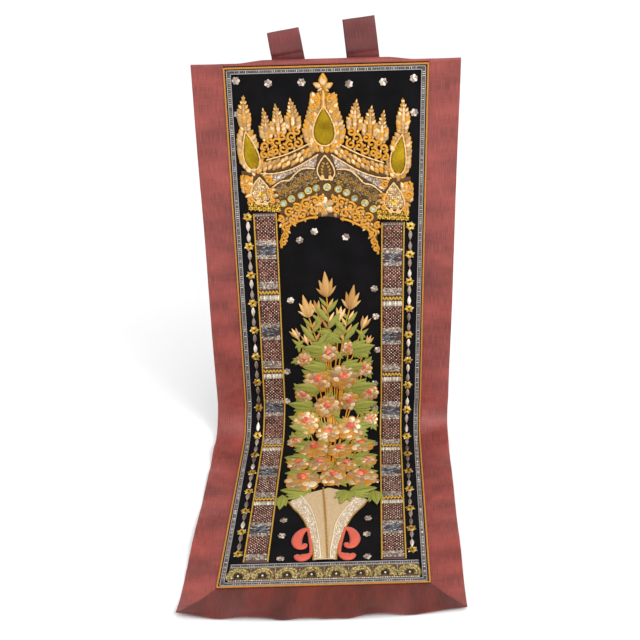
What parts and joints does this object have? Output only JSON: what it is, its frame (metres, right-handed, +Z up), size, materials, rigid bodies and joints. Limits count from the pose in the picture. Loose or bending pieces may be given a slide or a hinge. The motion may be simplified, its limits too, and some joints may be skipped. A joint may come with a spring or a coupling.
{
  "type": "embroidered wall hanging",
  "caption": "Embroidered velvet wall hanging in a silk border with hanging tabs; it falls straight from its top edge, then bends forward and lies flat.",
  "frame": {"origin": "middle of the velvet panel's top edge, on the front face of the cloth", "axes": "+Z up, +X to the right of someone facing the work; the embroidered face looks along -Y and the lower part lies forward along -Y"},
  "size_m": [0.5086, 0.5852, 0.8428],
  "materials": {
    "silk": "slubbed silk, satin sheen",
    "velvet": "short pile, matt",
    "gold_thread": "twisted metallic thread",
    "silver_thread": "woven metallic braid",
    "copper_sequins": "glossy sequins and beads",
    "olive_velvet": "short pile, matt",
    "cream_thread": "satin stitch",
    "coral_thread": "satin stitch",
    "leaf_thread": "satin stitch",
    "rose_thread": "sequins and satin stitch",
    "pale_gold_thread": "twisted metallic thread"
  },
  "bodies": {
    "root": {"arch": "gold_thread", "border_hem": "silk", "border_left": "silk", "border_right": "silk", "border_top": "silk", "chain_left": "silver_thread", "chain_right": "silver_thread", "foliage": "leaf_thread", "frieze": "pale_gold_thread", "frieze_braid": "silver_thread", "gold_cord": "gold_thread", "handle_left": "coral_thread", "handle_right": "coral_thread", "horn_left": "gold_thread", "horn_right": "gold_thread", "lily_1": "pale_gold_thread", "lily_2": "pale_gold_thread", "lily_3": "pale_gold_thread", "middle_flame": "gold_thread", "pillar_left": "copper_sequins", "pillar_right": "copper_sequins", "rose_01": "rose_thread", "rose_02": "rose_thread", "rose_03": "rose_thread", "rose_04": "rose_thread", "rose_05": "rose_thread", "rose_06": "rose_thread", "rose_07": "rose_thread", "rose_08": "rose_thread", "rose_09": "rose_thread", "rose_10": "rose_thread", "rose_11": "rose_thread", "rose_12": "rose_thread", "rose_13": "rose_thread", "rose_14": "rose_thread", "rose_15": "rose_thread", "rose_16": "rose_thread", "rose_17": "rose_thread", "rose_18": "rose_thread", "rose_19": "rose_thread", "rose_20": "rose_thread", "rose_21": "rose_thread", "rose_22": "rose_thread", "rose_23": "rose_thread", "rose_24": "rose_thread", "rose_25": "rose_thread", "silver_braid": "silver_thread", "spires_left": "gold_thread", "spires_right": "gold_thread", "tab_left": "silk", "tab_right": "silk", "teardrop_left": "olive_velvet", "teardrop_middle": "olive_velvet", "teardrop_right": "olive_velvet", "vase": "cream_thread", "velvet_panel": "velvet"}
  },
  "joints": []
}
